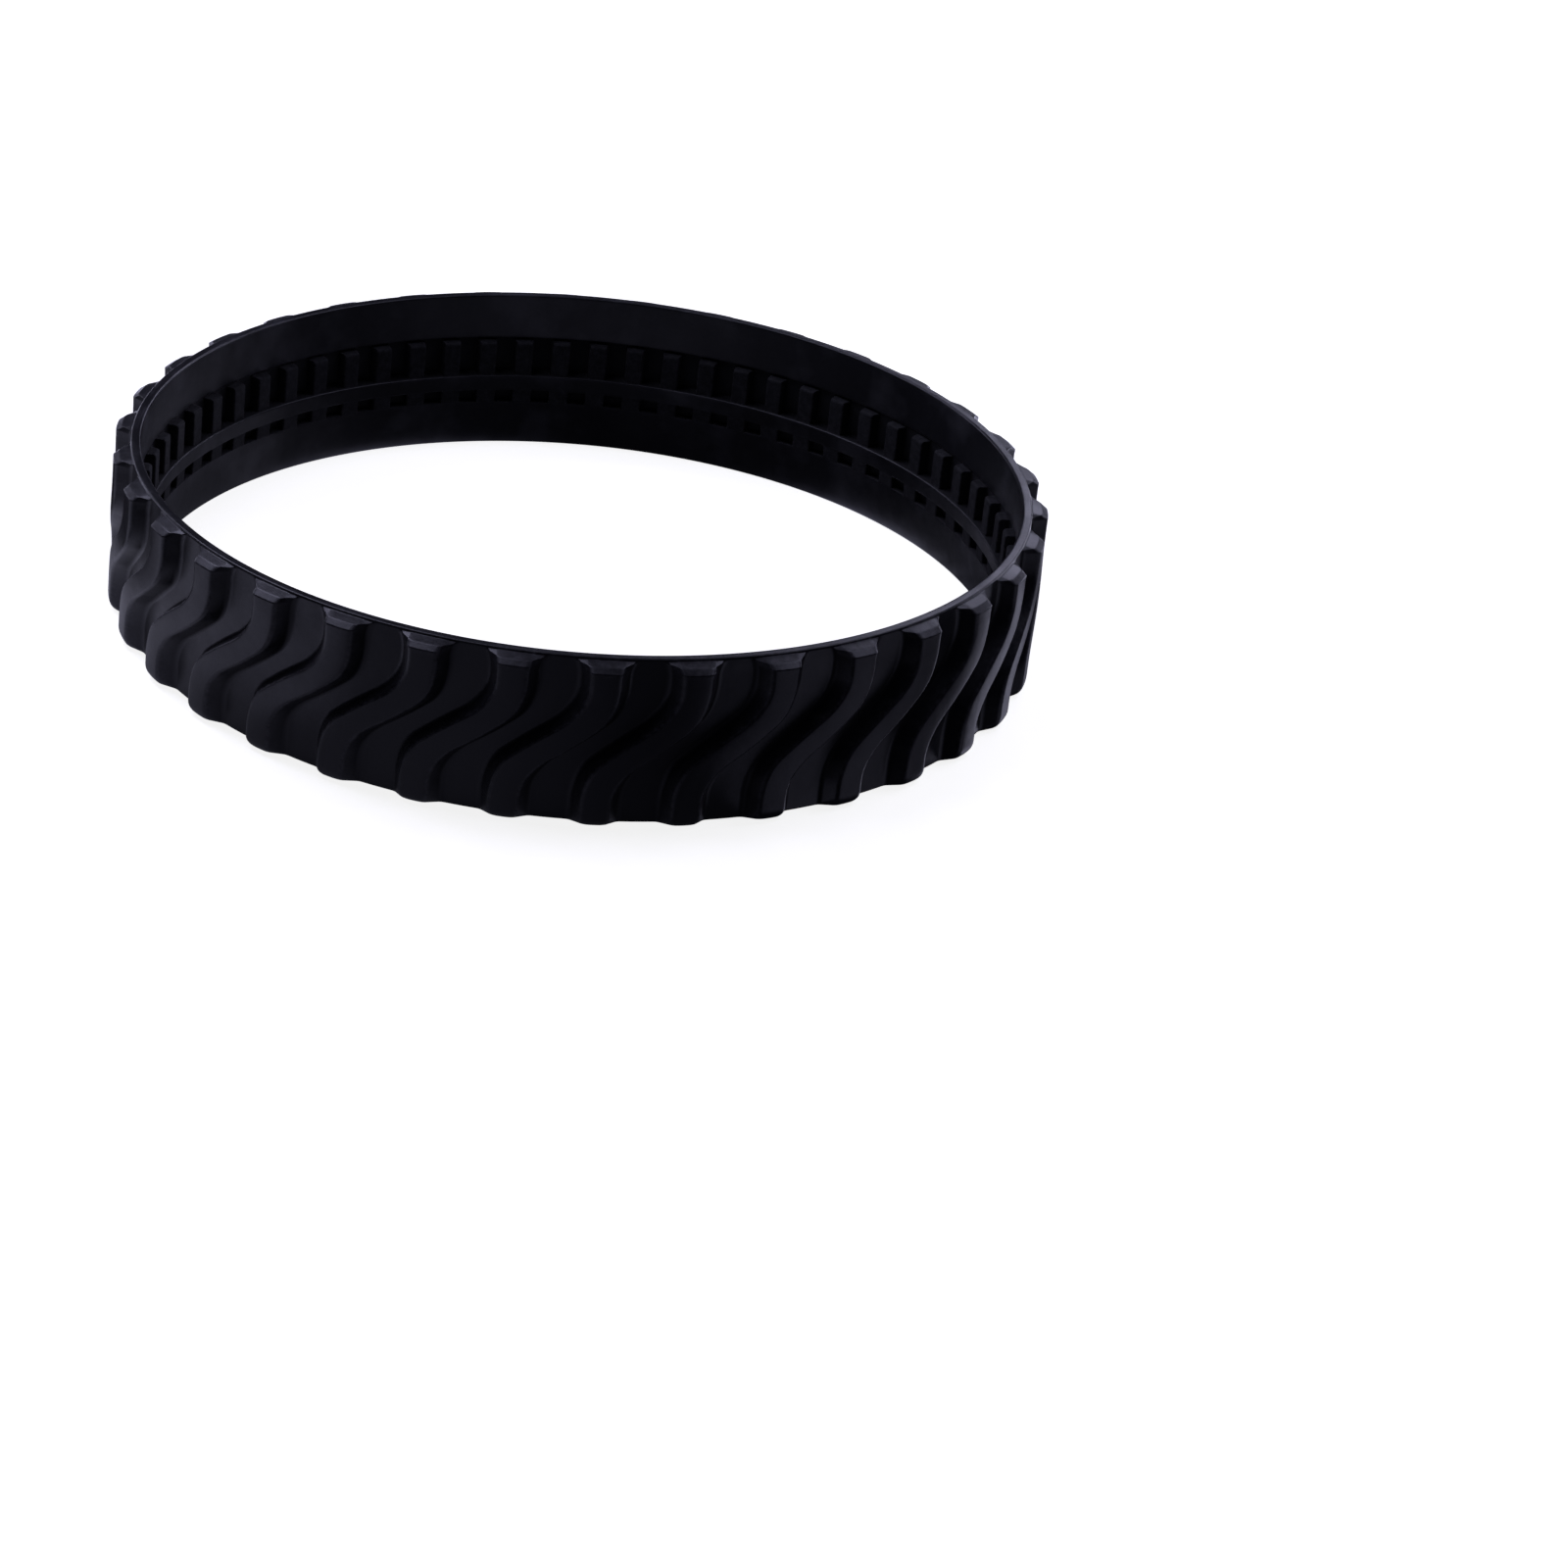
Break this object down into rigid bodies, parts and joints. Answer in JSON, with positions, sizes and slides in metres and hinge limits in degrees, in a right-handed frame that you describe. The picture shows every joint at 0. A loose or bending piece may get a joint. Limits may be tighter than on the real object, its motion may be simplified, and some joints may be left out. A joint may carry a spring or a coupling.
{
  "type": "rubber drive track",
  "caption": "Closed moulded rubber drive track with S-shaped tread bars outside, a toothed drive channel and a guide rail inside; it bends to fit two wheels.",
  "frame": {"origin": "centre of the loop, half way up its width", "axes": "+Z along the loop's axis, towards the rim beside the smooth inner land; the track stands on the other rim. +X and +Y lie in the loop's plane, at bend lines"},
  "size_m": [0.2124, 0.2124, 0.0384],
  "materials": {
    "moulded_rubber": "satin black moulded rubber, slightly scuffed on the running faces"
  },
  "bodies": {
    "zone_01": {"belt_zone_01": "moulded_rubber", "tread_bars_01": "moulded_rubber", "drive_teeth_01": "moulded_rubber", "guide_rail_01": "moulded_rubber"},
    "zone_02": {"belt_zone_02": "moulded_rubber", "tread_bars_02": "moulded_rubber", "drive_teeth_02": "moulded_rubber", "guide_rail_02": "moulded_rubber"},
    "zone_03": {"belt_zone_03": "moulded_rubber", "tread_bars_03": "moulded_rubber", "drive_teeth_03": "moulded_rubber", "guide_rail_03": "moulded_rubber"},
    "zone_04": {"belt_zone_04": "moulded_rubber", "tread_bars_04": "moulded_rubber", "drive_teeth_04": "moulded_rubber", "guide_rail_04": "moulded_rubber"},
    "zone_05": {"belt_zone_05": "moulded_rubber", "tread_bars_05": "moulded_rubber", "drive_teeth_05": "moulded_rubber", "guide_rail_05": "moulded_rubber"},
    "zone_06": {"belt_zone_06": "moulded_rubber", "tread_bars_06": "moulded_rubber", "drive_teeth_06": "moulded_rubber", "guide_rail_06": "moulded_rubber"},
    "zone_07": {"belt_zone_07": "moulded_rubber", "tread_bars_07": "moulded_rubber", "drive_teeth_07": "moulded_rubber", "guide_rail_07": "moulded_rubber"},
    "zone_08": {"belt_zone_08": "moulded_rubber", "tread_bars_08": "moulded_rubber", "drive_teeth_08": "moulded_rubber", "guide_rail_08": "moulded_rubber"},
    "zone_09": {"belt_zone_09": "moulded_rubber", "tread_bars_09": "moulded_rubber", "drive_teeth_09": "moulded_rubber", "guide_rail_09": "moulded_rubber"},
    "zone_10": {"belt_zone_10": "moulded_rubber", "tread_bars_10": "moulded_rubber", "drive_teeth_10": "moulded_rubber", "guide_rail_10": "moulded_rubber"},
    "zone_11": {"belt_zone_11": "moulded_rubber", "tread_bars_11": "moulded_rubber", "drive_teeth_11": "moulded_rubber", "guide_rail_11": "moulded_rubber"},
    "zone_12": {"belt_zone_12": "moulded_rubber", "tread_bars_12": "moulded_rubber", "drive_teeth_12": "moulded_rubber", "guide_rail_12": "moulded_rubber"},
    "zone_13": {"belt_zone_13": "moulded_rubber", "tread_bars_13": "moulded_rubber", "drive_teeth_13": "moulded_rubber", "guide_rail_13": "moulded_rubber"}
  },
  "joints": [
    {"name": "bend_247", "type": "hinge", "parent": "zone_07", "child": "zone_08", "pos_m": [-0.03873, -0.0935, 0], "axis": [0, 0, 1], "range_deg": [-15.9, 15.9], "stiffness_Nm_per_rad": 0.25},
    {"name": "bend_270", "type": "hinge", "parent": "zone_08", "child": "zone_09", "pos_m": [0, -0.1012, 0], "axis": [0, 0, 1], "range_deg": [-22.5, 22.5], "stiffness_Nm_per_rad": 0.25},
    {"name": "bend_292", "type": "hinge", "parent": "zone_09", "child": "zone_10", "pos_m": [0.03873, -0.0935, 0], "axis": [0, 0, 1], "range_deg": [-15.91, 15.91], "stiffness_Nm_per_rad": 0.25},
    {"name": "bend_337", "type": "hinge", "parent": "zone_10", "child": "zone_11", "pos_m": [0.0935, -0.03873, 0], "axis": [0, 0, 1], "range_deg": [-15.91, 15.91], "stiffness_Nm_per_rad": 0.25},
    {"name": "bend_000", "type": "hinge", "parent": "zone_11", "child": "zone_12", "pos_m": [0.1012, 0, 0], "axis": [0, 0, 1], "range_deg": [-22.5, 22.5], "stiffness_Nm_per_rad": 0.25},
    {"name": "bend_022", "type": "hinge", "parent": "zone_12", "child": "zone_13", "pos_m": [0.0935, 0.03873, 0], "axis": [0, 0, 1], "range_deg": [-15.91, 15.91], "stiffness_Nm_per_rad": 0.25},
    {"name": "bend_202", "type": "hinge", "parent": "zone_07", "child": "zone_06", "pos_m": [-0.0935, -0.03873, 0], "axis": [0, 0, -1], "range_deg": [-15.91, 15.91], "stiffness_Nm_per_rad": 0.25},
    {"name": "bend_180", "type": "hinge", "parent": "zone_06", "child": "zone_05", "pos_m": [-0.1012, 0, 0], "axis": [0, 0, -1], "range_deg": [-22.5, 22.5], "stiffness_Nm_per_rad": 0.25},
    {"name": "bend_157", "type": "hinge", "parent": "zone_05", "child": "zone_04", "pos_m": [-0.0935, 0.03873, 0], "axis": [0, 0, -1], "range_deg": [-15.91, 15.91], "stiffness_Nm_per_rad": 0.25},
    {"name": "bend_112", "type": "hinge", "parent": "zone_04", "child": "zone_03", "pos_m": [-0.03873, 0.0935, 0], "axis": [0, 0, -1], "range_deg": [-15.91, 15.91], "stiffness_Nm_per_rad": 0.25},
    {"name": "bend_090", "type": "hinge", "parent": "zone_03", "child": "zone_02", "pos_m": [0, 0.1012, 0], "axis": [0, 0, -1], "range_deg": [-22.5, 22.5], "stiffness_Nm_per_rad": 0.25},
    {"name": "bend_067", "type": "hinge", "parent": "zone_02", "child": "zone_01", "pos_m": [0.03873, 0.0935, 0], "axis": [0, 0, -1], "range_deg": [-15.91, 15.91], "stiffness_Nm_per_rad": 0.25}
  ],
  "couplings": [
    {"joint": "bend_270", "follows": "bend_247", "ratio": 1.4142},
    {"joint": "bend_292", "follows": "bend_247", "ratio": 1},
    {"joint": "bend_337", "follows": "bend_247", "ratio": -1},
    {"joint": "bend_000", "follows": "bend_247", "ratio": -1.4142},
    {"joint": "bend_022", "follows": "bend_247", "ratio": -1},
    {"joint": "bend_202", "follows": "bend_247", "ratio": -1},
    {"joint": "bend_180", "follows": "bend_247", "ratio": -1.4142},
    {"joint": "bend_157", "follows": "bend_247", "ratio": -1},
    {"joint": "bend_112", "follows": "bend_247", "ratio": 1},
    {"joint": "bend_090", "follows": "bend_247", "ratio": 1.4142},
    {"joint": "bend_067", "follows": "bend_247", "ratio": 1}
  ]
}
